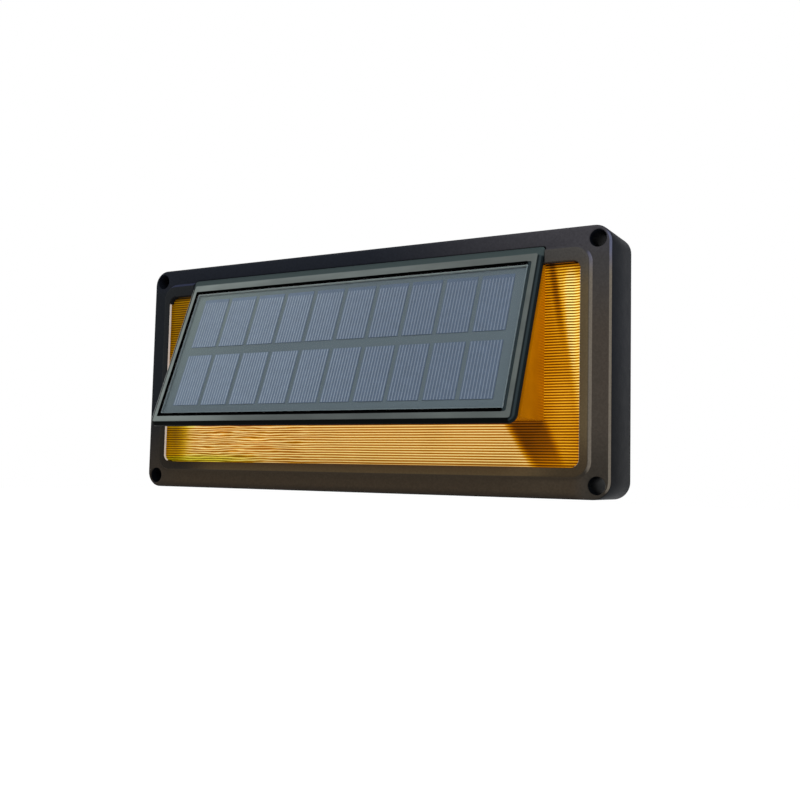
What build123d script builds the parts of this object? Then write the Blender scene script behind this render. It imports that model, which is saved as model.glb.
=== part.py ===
from build123d import *
import os
from math import cos, radians, sin

# Solar fence light. A wide shallow housing screws to a fence or a wall through its four
# corners. Its window holds a finely ribbed lens, and the same moulding swells into a hollow
# wedge that carries the tilted solar panel. The battery, the lamp strips and the control
# board are inside, and the only control is a sealed push button in the back.
#
# Millimetres. +X to the right, +Y into the wall, +Z up. The origin is the centre of the
# rear face, which lies on the wall, so a "depth" below is a distance in front of the wall.

# ---- Housing --------------------------------------------------------------------------
housing_width = 198.0
housing_height = 90.0
housing_depth = 22.0
corner_radius = 6.0
front_chamfer = 0.8
side_wall = 2.8
lip_wall = 1.5  # the wall is thinner where it goes round the rear cover
flange_thickness = 2.6  # front face, from the side wall to the window

rim_inset = 6.4  # raised rim round the window, from the outline
rim_height = 1.7
rim_bevel_angle = 33.0
rim_corner = 6.0

window_side_border = 10.0
window_bottom_border = 10.2
window_top_border = 11.6
window_corner = 3.0

mount_inset = 4.6  # wall screw holes, from the two nearest edges
mount_hole_radius = 3.0
post_radius = 4.2

# ---- Rear cover and its seal ----------------------------------------------------------
cover_thickness = 2.5
cover_gap = 0.25
gasket_thickness = 1.0
gasket_width = 1.2
gasket_boss_gap = 0.15
boss_radius = 2.6
boss_inset = 5.1  # cover screw bosses, from the long edges of the outline
boss_x = 62.0  # cover screw bosses, on each side of the middle
screw_radius = 1.2
screw_head_radius = 2.2
screw_head_height = 1.4
screw_length = 9.0
screw_gap = 0.1
head_gap = 0.2

# ---- Lens -----------------------------------------------------------------------------
lens_gap = 0.3  # all round, inside the window
lens_recess = 0.6  # rib crests, behind the front face of the housing
lens_wall = 1.8
lens_flange_overlap = 1.8
lens_flange_thickness = 1.8
lens_seal_thickness = 0.8
rib_pitch = 0.93
rib_height = 0.35

# ---- Wedge under the panel, part of the lens moulding ----------------------------------
wedge_rise = 15.5  # its underside, above the window's lower edge
wedge_side_lip = 1.5  # how far it stands out past the panel's tray on each side
wedge_wall = 2.0
wedge_seal_thickness = 0.5
wedge_seal_inset = 1.8
wedge_seal_width = 2.4

# ---- Solar panel ----------------------------------------------------------------------
panel_tilt = 21.3  # from the vertical, its foot standing out
panel_lift = 1.245  # top edge of its face, in front of the housing's front face
panel_overlap = 6.193  # top edge of its face, above the window's upper edge
glass_width = 143.4
glass_height = 53.3
glass_thickness = 0.8
glass_recess = 0.1
glass_corner = 0.3
opening_corner = 0.7
glass_edge_gap = 1.0

frame_thickness = 2.2
frame_face_side = 1.5
frame_face_top = 2.6
frame_face_bottom = 2.1
frame_bevel_side = 2.0
frame_bevel_top = 3.5
frame_bevel_bottom = 1.4
frame_bevel_drop = 1.2
frame_top_corner = 1.2
frame_bottom_corner = 3.0
frame_face_corner = 0.6
seat_gap = 0.3  # between the frame's top edge and its seat in the rim

tray_thickness = 1.8
tray_inset = 1.7  # behind the frame's outer edge, at the sides and the bottom
tray_top_gap = 2.3  # below where the wedge's sloping face runs into the lens
tray_corner = 2.0

cell_columns = 10
cell_side_margin = 4.55
cell_gap = 1.7
cell_thickness = 0.2
cell_top_margin = 2.8
cell_bottom_margin = 3.8
cell_row_gap = 3.7
upper_cell_extra = 0.2  # the upper cells are longer by this
laminate_gap = 0.05
backing_thickness = 0.6
seal_recess = 0.2  # black seal in the gap round the glass, behind the frame's face
seal_gap = 0.05

lead_hole_radius = 2.6
lead_hole_x = 20.0
lead_hole_v = 6.0  # up the slope from the middle of the glass

# ---- Reflector and lamp strips ---------------------------------------------------------
reflector_depth = 8.0  # back face of its floor
reflector_wall = 1.2
reflector_rear_gap = 0.3  # in front of its walls, behind the lens flange
reflector_side_gap = 1.0
trough_width = 17.0
reflector_pad = 5.0  # side of the square pads that carry it
strip_width = 8.0
strip_thickness = 1.0
strip_end_gap = 4.6  # between a side strip and the trough's ends
chip_length = 3.5
chip_width = 2.8
chip_height = 1.2
jumper_radius = 0.4
jumper_inset = 2.0
jumper_rise = 3.5
bottom_chip_count = 9
side_chip_count = 3

# ---- Battery ---------------------------------------------------------------------------
battery_radius = 7.1
battery_length = 48.6
battery_nub_radius = 2.8
battery_nub_height = 1.4
battery_edge = 0.6
battery_x = -22.0
battery_rise = 24.8  # its axis, above the lower trough
battery_gap = 0.3
holder_wall = 1.5
holder_height = 12.0
contact_thickness = 0.4
contact_width = 8.0
contact_bow = 2.0
contact_gap = 0.1  # between the bow and the end of the cell
contact_bend = 3.4
contact_tab = 1.0
thumb_notch = 18.0

# ---- Control board and push button -----------------------------------------------------
board_side_gap = 4.0  # to the right trough
board_rise = 3.8  # above the lower trough
board_width = 30.0
board_height = 22.0
board_thickness = 1.6
board_post_radius = 2.3
board_post_inset = 3.0
board_screw_length = 5.0
chip_offset = 6.0
component_pitch = 7.0
controller_length = 5.0
controller_width = 4.0
controller_height = 1.6
choke_radius = 2.6
choke_height = 3.0
capacitor_radius = 2.5
capacitor_height = 5.0
button_radius = 4.2
button_side_gap = 0.3
button_recess = 0.4  # button face, behind the rear face of the light
button_collar_radius = 5.3
button_collar_height = 0.8
button_collar_gap = 0.3
button_travel = 0.8
button_wall = 1.0
button_edge = 0.6
finger_recess_radius = 8.0
finger_recess_depth = 1.3
plunger_radius = 1.5
plunger_engagement = 1.0  # length inside the switch at rest
switch_size = 6.2
switch_height = 3.5
switch_bore_depth = 2.6
switch_clearance = 0.8  # above the collar's deepest place

# ---- Leads -----------------------------------------------------------------------------
lead_radius = 0.6
lead_pitch = 2.2
lead_slack = 8.0  # how far the panel leads run straight behind the panel
lead_rise = 6.0  # in front of the control board
lead_drop = 3.0  # between the two battery leads
lead_rear_gap = 2.5  # in front of the rear cover
panel_lead_inset = 10.0

# ---- Worked out from the sizes above ---------------------------------------------------
window_width = housing_width - 2 * window_side_border
window_height = housing_height - window_bottom_border - window_top_border
window_z = (window_bottom_border - window_top_border) / 2
window_top = window_z + window_height / 2
window_bottom = window_z - window_height / 2
mount_x = housing_width / 2 - mount_inset
mount_z = housing_height / 2 - mount_inset
boss_z = housing_height / 2 - boss_inset
flange_back = housing_depth - flange_thickness
rib_crest_depth = housing_depth - lens_recess
lens_depth = rib_crest_depth - rib_height
lens_flange_front = flange_back - lens_seal_thickness
lens_flange_back = lens_flange_front - lens_flange_thickness
pad_width = window_width - 2 * lens_gap
pad_height = window_height - 2 * lens_gap
pad_corner = window_corner - lens_gap
tilt_sin = sin(radians(panel_tilt))
tilt_cos = cos(radians(panel_tilt))
tray_back = frame_thickness + tray_thickness
wedge_offset = tray_back + wedge_seal_thickness  # behind the panel's face
opening_width = glass_width + 2 * glass_edge_gap
opening_height = glass_height + 2 * glass_edge_gap
face_width = opening_width + 2 * frame_face_side
face_top = opening_height / 2 + frame_face_top
face_bottom = -opening_height / 2 - frame_face_bottom
frame_width = face_width + 2 * frame_bevel_side
frame_top = face_top + frame_bevel_top
frame_bottom = face_bottom - frame_bevel_bottom
panel_depth = housing_depth + panel_lift + frame_top * tilt_sin  # middle of the glass
panel_height = window_top + panel_overlap - frame_top * tilt_cos
tray_width = frame_width - 2 * tray_inset
wedge_width = tray_width + 2 * wedge_side_lip
wedge_bottom = window_bottom + wedge_rise
glass_back = glass_recess + glass_thickness
cell_front = glass_back + laminate_gap
backing_front = cell_front + cell_thickness + laminate_gap
backing_back = backing_front + backing_thickness
foam_thickness = frame_thickness - backing_back

mount_points = [(x, z) for x in (-mount_x, mount_x) for z in (-mount_z, mount_z)]
boss_points = [(x, z) for x in (-boss_x, boss_x) for z in (-boss_z, boss_z)]


def facing(depth):
    """The plane at this depth that faces the viewer: its x is +X and its y is +Z."""
    return Plane(origin=(0, -depth, 0), x_dir=(1, 0, 0), z_dir=(0, -1, 0))


# The face of the panel: its x is +X, its y goes up the slope and its z out of the glass.
panel_plane = Plane(
    origin=(0, -panel_depth, panel_height), x_dir=(1, 0, 0), z_dir=(0, -tilt_cos, tilt_sin)
)


def on_panel(v, behind):
    """Y and Z of a point v up the slope and this far behind the panel's face."""
    y = -panel_depth + v * tilt_sin + behind * tilt_cos
    z = panel_height + v * tilt_cos - behind * tilt_sin
    return y, z


def slope_at_depth(depth, behind):
    """Z where the plane this far behind the panel's face is at the given depth."""
    v = (panel_depth - depth - behind * tilt_cos) / tilt_sin
    return on_panel(v, behind)[1]


def slope_at_height(z, behind):
    """Y where the plane this far behind the panel's face is at the given height."""
    v = (z - panel_height + behind * tilt_sin) / tilt_cos
    return on_panel(v, behind)[0]


# Up the slope: where the wedge's sloping face meets the lens, its foot, and the tray's edge.
wedge_head = (panel_depth - lens_depth - wedge_offset * tilt_cos) / tilt_sin
wedge_foot = (wedge_bottom - panel_height + wedge_offset * tilt_sin) / tilt_cos
tray_top = wedge_head - tray_top_gap

# The U-shaped trough of the lamp follows the window, and the control board and the battery
# lie inside the U.
reflector_x = window_width / 2 - reflector_side_gap
reflector_low = window_bottom + reflector_side_gap
reflector_high = window_top - reflector_side_gap
reflector_inner_x = reflector_x - trough_width
reflector_inner_z = reflector_low + trough_width
reflector_mid_x = reflector_x - trough_width / 2
reflector_mid_z = reflector_low + trough_width / 2
side_strip_length = reflector_high - reflector_inner_z - 2 * strip_end_gap
side_strip_z = (reflector_high + reflector_inner_z) / 2
bottom_strip_length = 2 * reflector_mid_x - strip_width
battery_z = reflector_inner_z + battery_rise
button_x = reflector_inner_x - board_side_gap - board_width / 2
button_z = reflector_inner_z + board_rise + board_height / 2


def finish(part, name):
    """Names a finished piece and writes it to its own file."""
    part.label = name
    export_step(part, f"parts/{name}.step")
    print(f"{name:20s} solids {len(part.solids())}  volume {part.volume:10.1f}")


def cover_outline(gap):
    """Space inside the housing's lip, clear of the corner posts, drawn this much smaller."""
    inset = lip_wall + gap
    RectangleRounded(
        housing_width - 2 * inset, housing_height - 2 * inset, corner_radius - lip_wall
    )
    with Locations(*mount_points):
        Circle(post_radius + gap, mode=Mode.SUBTRACT)


def window_outline(grow, radius, mode=Mode.ADD):
    """The window's outline, grown or shrunk all round."""
    with Locations((0, window_z)):
        RectangleRounded(window_width + 2 * grow, window_height + 2 * grow, radius, mode=mode)


def slope_outline(width, top, bottom, top_radius, bottom_radius):
    """A rectangle on the panel's plane with its own radii at the top and at the bottom."""
    with Locations((0, (top + bottom) / 2)):
        Rectangle(width, top - bottom)
    fillet(vertices().group_by(Axis.Y)[-1], top_radius)
    fillet(vertices().group_by(Axis.Y)[0], bottom_radius)


def lead(points, radius):
    """A hidden wire, eight-sided, in straight runs with mitred corners."""
    with BuildPart(mode=Mode.PRIVATE) as wire:
        with BuildLine() as route:
            Polyline(*points)
        first_run = Vector(*points[1]) - Vector(*points[0])
        with BuildSketch(Plane(origin=points[0], z_dir=first_run)):
            RegularPolygon(radius, side_count=8)
        sweep(path=route.line, transition=Transition.RIGHT)
    return wire.part


def screw(length):
    """A round-headed screw, its head's underside on XY and its shank along +Z."""
    with BuildPart(mode=Mode.PRIVATE) as one:
        with BuildSketch():
            Circle(screw_radius)
        extrude(amount=length)
        with BuildSketch():
            Circle(screw_head_radius)
        extrude(amount=-screw_head_height)
        chamfer(one.faces().sort_by(Axis.Z)[0].edges(), screw_head_height / 3)
    return one.part


os.makedirs("parts", exist_ok=True)

# ---- Front housing: tray-shaped shell, raised rim, window, corner posts, cover bosses ----
with BuildPart() as front_housing:
    with BuildSketch(facing(0)):
        RectangleRounded(housing_width, housing_height, corner_radius)
    extrude(amount=housing_depth)
    chamfer(front_housing.faces().sort_by(Axis.Y)[0].edges(), front_chamfer)
    with BuildSketch(facing(housing_depth)):
        RectangleRounded(housing_width - 2 * rim_inset, housing_height - 2 * rim_inset, rim_corner)
    extrude(amount=rim_height, taper=rim_bevel_angle)
    # The rebate for the cover and its seal, then the rest of the hollow.
    with BuildSketch(facing(0)):
        cover_outline(0)
    extrude(amount=cover_thickness + gasket_thickness, mode=Mode.SUBTRACT)
    with BuildSketch(facing(0)):
        cover_outline(side_wall - lip_wall)
    extrude(amount=flange_back, mode=Mode.SUBTRACT)
    with BuildSketch(facing(cover_thickness)):
        with Locations(*boss_points):
            Circle(boss_radius)
    extrude(amount=flange_back - cover_thickness)
    with BuildSketch(facing(0)):
        window_outline(0, window_corner)
    extrude(amount=housing_depth + rim_height, mode=Mode.SUBTRACT)
    # Wall screws go right through the posts, cover screws part of the way up the bosses.
    with BuildSketch(facing(0)):
        with Locations(*mount_points):
            Circle(mount_hole_radius)
    extrude(amount=housing_depth, mode=Mode.SUBTRACT)
    with BuildSketch(facing(0)):
        with Locations(*boss_points):
            Circle(screw_radius + screw_gap)
    extrude(amount=screw_length + screw_head_height, mode=Mode.SUBTRACT)
    # The panel's top edge sinks into a sloping seat that interrupts the rim.
    with BuildSketch(panel_plane.offset(-frame_thickness - seat_gap)):
        slope_outline(
            frame_width + 2 * seat_gap,
            frame_top + seat_gap,
            frame_bottom,
            frame_top_corner,
            frame_bottom_corner,
        )
    extrude(amount=frame_thickness + housing_depth, mode=Mode.SUBTRACT)
finish(front_housing.part, "front_housing")

# ---- Rear cover: flat back, finger recess, bosses for the board and the reflector --------
board_back = (
    cover_thickness
    + button_collar_gap
    + button_collar_height
    + button_travel
    + switch_clearance
    + switch_height
)
board_posts = [
    (
        button_x + side * (board_width / 2 - board_post_inset),
        button_z + side * (board_height / 2 - board_post_inset),
    )
    for side in (-1, 1)
]
reflector_pads = [
    (-reflector_mid_x, reflector_mid_z),
    (reflector_mid_x, reflector_mid_z),
    (-reflector_mid_x, side_strip_z + side_strip_length / 2),
    (reflector_mid_x, side_strip_z + side_strip_length / 2),
]
with BuildPart() as rear_cover:
    with BuildSketch(facing(0)):
        cover_outline(cover_gap)
    extrude(amount=cover_thickness)
    with BuildSketch(facing(cover_thickness)):
        with Locations(*board_posts):
            Circle(board_post_radius)
    extrude(amount=board_back - cover_thickness)
    with BuildSketch(facing(cover_thickness)):
        with Locations(*reflector_pads):
            Rectangle(reflector_pad, reflector_pad)
    extrude(amount=reflector_depth - cover_thickness)
    with BuildSketch(facing(0)):
        with Locations(*boss_points):
            Circle(screw_head_radius + head_gap)
    extrude(amount=screw_head_height, mode=Mode.SUBTRACT)
    with BuildSketch(facing(0)):
        with Locations(*boss_points):
            Circle(screw_radius + head_gap)
    extrude(amount=cover_thickness, mode=Mode.SUBTRACT)
    with BuildSketch(facing(board_back)):
        with Locations(*board_posts):
            Circle(screw_radius + screw_gap)
    extrude(amount=-board_screw_length, mode=Mode.SUBTRACT)
    with BuildSketch(facing(0)):
        with Locations((button_x, button_z)):
            Circle(finger_recess_radius)
    extrude(amount=finger_recess_depth, mode=Mode.SUBTRACT)
    with BuildSketch(facing(0)):
        with Locations((button_x, button_z)):
            Circle(button_radius + button_side_gap)
    extrude(amount=cover_thickness, mode=Mode.SUBTRACT)
finish(rear_cover.part, "rear_cover")

# ---- Seal between the rear cover and the housing's rebate --------------------------------
with BuildPart() as cover_gasket:
    with BuildSketch(facing(cover_thickness)):
        cover_outline(cover_gap / 2)
    extrude(amount=gasket_thickness)
    with BuildSketch(facing(cover_thickness)):
        cover_outline(cover_gap / 2 + gasket_width)
        with Locations(*boss_points):
            Circle(boss_radius + gasket_boss_gap)
    extrude(amount=gasket_thickness, mode=Mode.SUBTRACT)
finish(cover_gasket.part, "cover_gasket")

with BuildPart() as cover_screws:
    with Locations(*[facing(screw_head_height) * Pos(x, z) for x, z in boss_points]):
        add(screw(screw_length))
finish(cover_screws.part, "cover_screws")

# ---- Ribbed lens with the wedge that carries the panel -----------------------------------
rib_count = int(pad_height / rib_pitch)
rib_start = window_z - rib_count * rib_pitch / 2
slope_top = on_panel(wedge_head, wedge_offset)[1]
cavity_depth = lens_depth - lens_wall
hollow_offset = wedge_offset + wedge_wall
hollow_bottom = wedge_bottom + wedge_wall
hollow_top = slope_at_depth(cavity_depth, hollow_offset)
with BuildPart() as ribbed_lens:
    # The pad's profile is drawn from the side, one prism after another, and pulled across.
    with BuildSketch(Plane.YZ.offset(-pad_width / 2)):
        with BuildLine():
            for i in range(rib_count):
                foot = (-lens_depth, rib_start + i * rib_pitch)
                crest = (-rib_crest_depth, rib_start + (i + 1 / 2) * rib_pitch)
                next_foot = (-lens_depth, rib_start + (i + 1) * rib_pitch)
                Polyline(foot, crest, next_foot)
            pad_top = window_z + pad_height / 2
            pad_bottom = window_z - pad_height / 2
            Polyline(
                next_foot,
                (-lens_depth, pad_top),
                (-lens_flange_front, pad_top),
                (-lens_flange_front, pad_bottom),
                (-lens_depth, pad_bottom),
                (-lens_depth, rib_start),
            )
        make_face()
    extrude(amount=pad_width)
    with BuildSketch(facing(lens_flange_front)):
        window_outline(-lens_gap, pad_corner)
    extrude(amount=lens_flange_thickness + housing_depth, mode=Mode.INTERSECT)
    with BuildSketch(facing(lens_flange_back)):
        window_outline(lens_flange_overlap, window_corner)
    extrude(amount=lens_flange_thickness)
    with BuildSketch(Plane.YZ.offset(-wedge_width / 2)):
        with BuildLine():
            Polyline(
                (-lens_flange_front, wedge_bottom),
                (slope_at_height(wedge_bottom, wedge_offset), wedge_bottom),
                (-lens_depth, slope_top),
                (-lens_flange_front, slope_top),
                close=True,
            )
        make_face()
    extrude(amount=wedge_width)
    # Hollow behind the window, then the hollow of the wedge.
    with BuildSketch(facing(lens_flange_back)):
        window_outline(-lens_gap - lens_wall, pad_corner)
    extrude(amount=cavity_depth - lens_flange_back, mode=Mode.SUBTRACT)
    with BuildSketch(Plane.YZ.offset(-wedge_width / 2 + wedge_wall)):
        with BuildLine():
            Polyline(
                (-lens_flange_back, hollow_bottom),
                (slope_at_height(hollow_bottom, hollow_offset), hollow_bottom),
                (-cavity_depth, hollow_top),
                (-lens_flange_back, hollow_top),
                close=True,
            )
        make_face()
    extrude(amount=wedge_width - 2 * wedge_wall, mode=Mode.SUBTRACT)
    # The panel's leads come through the sloping wall.
    with BuildSketch(panel_plane.offset(-wedge_offset)):
        with Locations((lead_hole_x, lead_hole_v)):
            Circle(lead_hole_radius)
    extrude(amount=-wedge_wall, mode=Mode.SUBTRACT)
finish(ribbed_lens.part, "ribbed_lens")

with BuildPart() as lens_seal:
    with BuildSketch(facing(lens_flange_front)):
        window_outline(lens_flange_overlap, window_corner)
        window_outline(0, window_corner, mode=Mode.SUBTRACT)
    extrude(amount=lens_seal_thickness)
finish(lens_seal.part, "lens_seal")

# ---- Solar panel: frame, glass, cells, backing, tray -------------------------------------
with BuildPart() as panel_frame:
    with BuildSketch(panel_plane.offset(-frame_thickness)):
        slope_outline(frame_width, frame_top, frame_bottom, frame_top_corner, frame_bottom_corner)
    extrude(amount=frame_thickness - frame_bevel_drop)
    with BuildSketch(panel_plane.offset(-frame_bevel_drop)):
        slope_outline(frame_width, frame_top, frame_bottom, frame_top_corner, frame_bottom_corner)
    with BuildSketch(panel_plane):
        slope_outline(face_width, face_top, face_bottom, frame_face_corner, frame_face_corner)
    loft(ruled=True)
    with BuildSketch(panel_plane.offset(-frame_thickness)):
        RectangleRounded(opening_width, opening_height, opening_corner)
    extrude(amount=frame_thickness, mode=Mode.SUBTRACT)
finish(panel_frame.part, "panel_frame")

with BuildPart() as solar_glass:
    with BuildSketch(panel_plane.offset(-glass_back)):
        RectangleRounded(glass_width, glass_height, glass_corner)
    extrude(amount=glass_thickness)
finish(solar_glass.part, "solar_glass")

cell_width = (glass_width - 2 * cell_side_margin - (cell_columns - 1) * cell_gap) / cell_columns
cell_pitch = cell_width + cell_gap
cell_rows_height = glass_height - cell_top_margin - cell_bottom_margin - cell_row_gap
lower_cell_height = (cell_rows_height - upper_cell_extra) / 2
upper_cell_height = lower_cell_height + upper_cell_extra
upper_cell_v = glass_height / 2 - cell_top_margin - upper_cell_height / 2
lower_cell_v = upper_cell_v - upper_cell_height / 2 - cell_row_gap - lower_cell_height / 2


def cell_row(height, v):
    """One row of separate cells behind the glass."""
    with BuildPart() as row:
        with BuildSketch(panel_plane.offset(-cell_front - cell_thickness)):
            with Locations((0, v)):
                with GridLocations(cell_pitch, 0, cell_columns, 1):
                    Rectangle(cell_width, height)
        extrude(amount=cell_thickness)
    return row.part


finish(cell_row(upper_cell_height, upper_cell_v), "upper_cells")
finish(cell_row(lower_cell_height, lower_cell_v), "lower_cells")

with BuildPart() as cell_backing:
    with BuildSketch(panel_plane.offset(-backing_back)):
        RectangleRounded(glass_width, glass_height, glass_corner)
    extrude(amount=backing_thickness)
finish(cell_backing.part, "cell_backing")

with BuildPart() as panel_foam:
    with BuildSketch(panel_plane.offset(-frame_thickness)):
        RectangleRounded(glass_width, glass_height, glass_corner)
        with Locations((lead_hole_x, lead_hole_v)):
            Circle(lead_hole_radius, mode=Mode.SUBTRACT)
    extrude(amount=foam_thickness)
finish(panel_foam.part, "panel_foam")

with BuildPart() as panel_seal:
    with BuildSketch(panel_plane.offset(-frame_thickness)):
        RectangleRounded(
            opening_width - 2 * seal_gap, opening_height - 2 * seal_gap, opening_corner - seal_gap
        )
        RectangleRounded(
            glass_width + 2 * seal_gap, glass_height + 2 * seal_gap, glass_corner, mode=Mode.SUBTRACT
        )
    extrude(amount=frame_thickness - seal_recess)
finish(panel_seal.part, "panel_seal")

with BuildPart() as panel_tray:
    with BuildSketch(panel_plane.offset(-tray_back)):
        slope_outline(tray_width, tray_top, frame_bottom + tray_inset, tray_corner, tray_corner)
        with Locations((lead_hole_x, lead_hole_v)):
            Circle(lead_hole_radius, mode=Mode.SUBTRACT)
    extrude(amount=tray_thickness)
finish(panel_tray.part, "panel_tray")

with BuildPart() as wedge_seal:
    seal_width = wedge_width - 2 * wedge_seal_inset
    seal_top = tray_top - wedge_seal_inset
    seal_bottom = wedge_foot + wedge_seal_inset
    with BuildSketch(panel_plane.offset(-wedge_offset)):
        slope_outline(seal_width, seal_top, seal_bottom, tray_corner, tray_corner)
        with Locations((0, (seal_top + seal_bottom) / 2)):
            Rectangle(
                seal_width - 2 * wedge_seal_width,
                seal_top - seal_bottom - 2 * wedge_seal_width,
                mode=Mode.SUBTRACT,
            )
    extrude(amount=wedge_seal_thickness)
finish(wedge_seal.part, "wedge_seal")

# ---- Reflector: a white U-shaped trough behind the window, open at the front -------------
reflector_front = lens_flange_back - reflector_rear_gap


def trough_outline(inset):
    """The reflector's U, drawn smaller by the inset on every side."""
    with Locations((0, (reflector_low + reflector_high) / 2)):
        Rectangle(2 * (reflector_x - inset), reflector_high - reflector_low - 2 * inset)
    with Locations((0, (reflector_inner_z - inset + reflector_high) / 2)):
        Rectangle(
            2 * (reflector_inner_x + inset),
            reflector_high - reflector_inner_z + inset,
            mode=Mode.SUBTRACT,
        )


strip_front = reflector_depth + reflector_wall + strip_thickness
with BuildPart() as reflector:
    with BuildSketch(facing(reflector_depth)):
        trough_outline(0)
    extrude(amount=reflector_front - reflector_depth)
    with BuildSketch(facing(reflector_depth + reflector_wall)):
        trough_outline(reflector_wall)
    extrude(amount=reflector_front - reflector_depth, mode=Mode.SUBTRACT)
    with BuildSketch(facing(reflector_depth)):
        with Locations((button_x, reflector_mid_z)):
            SlotCenterToCenter(lead_pitch, 4 * lead_radius)
    extrude(amount=reflector_wall, mode=Mode.SUBTRACT)
finish(reflector.part, "reflector")

# ---- Lamp strips on the reflector's floor, with their light chips ------------------------
strip_places = {
    "bottom": ((0, reflector_mid_z), bottom_strip_length, strip_width),
    "left": ((-reflector_mid_x, side_strip_z), strip_width, side_strip_length),
    "right": ((reflector_mid_x, side_strip_z), strip_width, side_strip_length),
}
for place, (centre, width, height) in strip_places.items():
    with BuildPart() as lamp_strip:
        with BuildSketch(facing(reflector_depth + reflector_wall)):
            with Locations(centre):
                Rectangle(width, height)
        extrude(amount=strip_thickness)
    finish(lamp_strip.part, f"lamp_strip_{place}")

with BuildPart() as lamp_chips:
    with BuildSketch(facing(strip_front)):
        with Locations((0, reflector_mid_z)):
            with GridLocations(bottom_strip_length / bottom_chip_count, 0, bottom_chip_count, 1):
                Rectangle(chip_length, chip_width)
        with Locations((-reflector_mid_x, side_strip_z), (reflector_mid_x, side_strip_z)):
            with GridLocations(0, side_strip_length / side_chip_count, 1, side_chip_count):
                Rectangle(chip_width, chip_length)
    extrude(amount=chip_height)
    chip_count = bottom_chip_count + 2 * side_chip_count
    chip_fronts = lamp_chips.faces().filter_by(Axis.Y).sort_by(Axis.Y)[:chip_count]
    chamfer(chip_fronts.edges(), chip_height / 4)
finish(lamp_chips.part, "lamp_chips")

# Jumper wires carry the current from the ends of the bottom strip to the side strips.
with BuildPart() as strip_jumpers:
    for side in (-1, 1):
        strip_end = side * (bottom_strip_length / 2 - jumper_inset)
        strip_foot = side_strip_z - side_strip_length / 2 + jumper_inset
        jumper_points = [
            (strip_end, -strip_front, reflector_mid_z),
            (strip_end, -strip_front - jumper_rise, reflector_mid_z),
            (side * reflector_mid_x, -strip_front - jumper_rise, strip_foot),
            (side * reflector_mid_x, -strip_front, strip_foot),
        ]
        add(lead(jumper_points, jumper_radius))
finish(strip_jumpers.part, "strip_jumpers")

# ---- Battery, its holder and its two contacts --------------------------------------------
holder_floor = cover_thickness + holder_wall
battery_depth = holder_floor + battery_gap + battery_radius
battery_span = battery_length + battery_nub_height
contact_room = contact_bow + contact_thickness + contact_gap
holder_inner = battery_span + 2 * contact_room
holder_width = 2 * (battery_radius + battery_gap + holder_wall)
holder_top = holder_floor + holder_height
with BuildPart() as battery:
    with BuildSketch(Plane((battery_x, -battery_depth, battery_z), (1, 0, 0), (0, 0, 1))):
        with BuildLine():
            left = -battery_span / 2
            shoulder = left + battery_length
            right = battery_span / 2
            Polyline(
                (left, 0),
                (left, battery_radius),
                (shoulder, battery_radius),
                (shoulder, battery_nub_radius),
                (right, battery_nub_radius),
                (right, 0),
                close=True,
            )
        make_face()
    revolve(axis=Axis((battery_x, -battery_depth, battery_z), (1, 0, 0)))
    chamfer(battery.edges().filter_by(GeomType.CIRCLE).group_by(SortBy.RADIUS)[-1], battery_edge)
finish(battery.part, "battery")

with BuildPart() as battery_holder:
    with BuildSketch(facing(cover_thickness)):
        with Locations((battery_x, battery_z)):
            RectangleRounded(holder_inner + 2 * holder_wall, holder_width, holder_wall)
    extrude(amount=holder_wall + holder_height)
    with BuildSketch(facing(holder_floor)):
        with Locations((battery_x, battery_z)):
            Rectangle(holder_inner, holder_width - 2 * holder_wall)
    extrude(amount=holder_height, mode=Mode.SUBTRACT)
    # A notch across both long walls lets a thumb lift the cell out.
    with BuildSketch(facing(battery_depth)):
        with Locations((battery_x, battery_z)):
            Rectangle(thumb_notch, holder_width)
    extrude(amount=holder_top - battery_depth, mode=Mode.SUBTRACT)
finish(battery_holder.part, "battery_holder")

# Each contact is a bowed strip of sheet metal: foot, bow towards the cell, solder tab.
with BuildPart() as battery_contacts:
    for side in (-1, 1):
        wall_x = side * holder_inner / 2
        bow_x = side * (battery_span / 2 + contact_gap + contact_thickness)
        with BuildSketch(Plane.XY.offset(battery_z - contact_width / 2)):
            with BuildLine(Location((battery_x, 0))):
                Polyline(
                    (wall_x, -holder_floor),
                    (wall_x, -battery_depth + contact_bend),
                    (bow_x, -battery_depth),
                    (wall_x, -battery_depth - contact_bend),
                    (wall_x, -holder_top - contact_tab),
                )
                offset(
                    amount=contact_thickness,
                    kind=Kind.INTERSECTION,
                    side=Side.LEFT if side < 0 else Side.RIGHT,
                )
            make_face()
        extrude(amount=contact_width)
finish(battery_contacts.part, "battery_contacts")

# ---- Control board: circuit board, its components, its screws ----------------------------
board_front = board_back + board_thickness
with BuildPart() as control_board:
    with BuildSketch(facing(board_back)):
        with Locations((button_x, button_z)):
            Rectangle(board_width, board_height)
        with Locations(*board_posts):
            Circle(screw_radius + head_gap, mode=Mode.SUBTRACT)
    extrude(amount=board_thickness)
finish(control_board.part, "control_board")

with BuildPart() as board_screws:
    with Locations(*[Plane((x, -board_front, z), (1, 0, 0), (0, 1, 0)) for x, z in board_posts]):
        add(screw(board_screw_length))
finish(board_screws.part, "board_screws")

with BuildPart() as board_parts:
    # Controller chip, drum choke and electrolytic capacitor.
    with BuildSketch(facing(board_front)):
        with Locations((button_x + chip_offset, button_z)):
            Rectangle(controller_length, controller_width)
    extrude(amount=controller_height)
    with BuildSketch(facing(board_front)):
        with Locations((button_x + chip_offset, button_z - component_pitch)):
            Circle(choke_radius)
    extrude(amount=choke_height)
    with BuildSketch(facing(board_front)):
        with Locations((button_x + chip_offset - component_pitch, button_z + component_pitch)):
            Circle(capacitor_radius)
    extrude(amount=capacitor_height)
    can_end = board_parts.faces().sort_by(Axis.Y)[0]
    chamfer(can_end.edges(), capacitor_radius / 8)
finish(board_parts.part, "board_parts")

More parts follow.
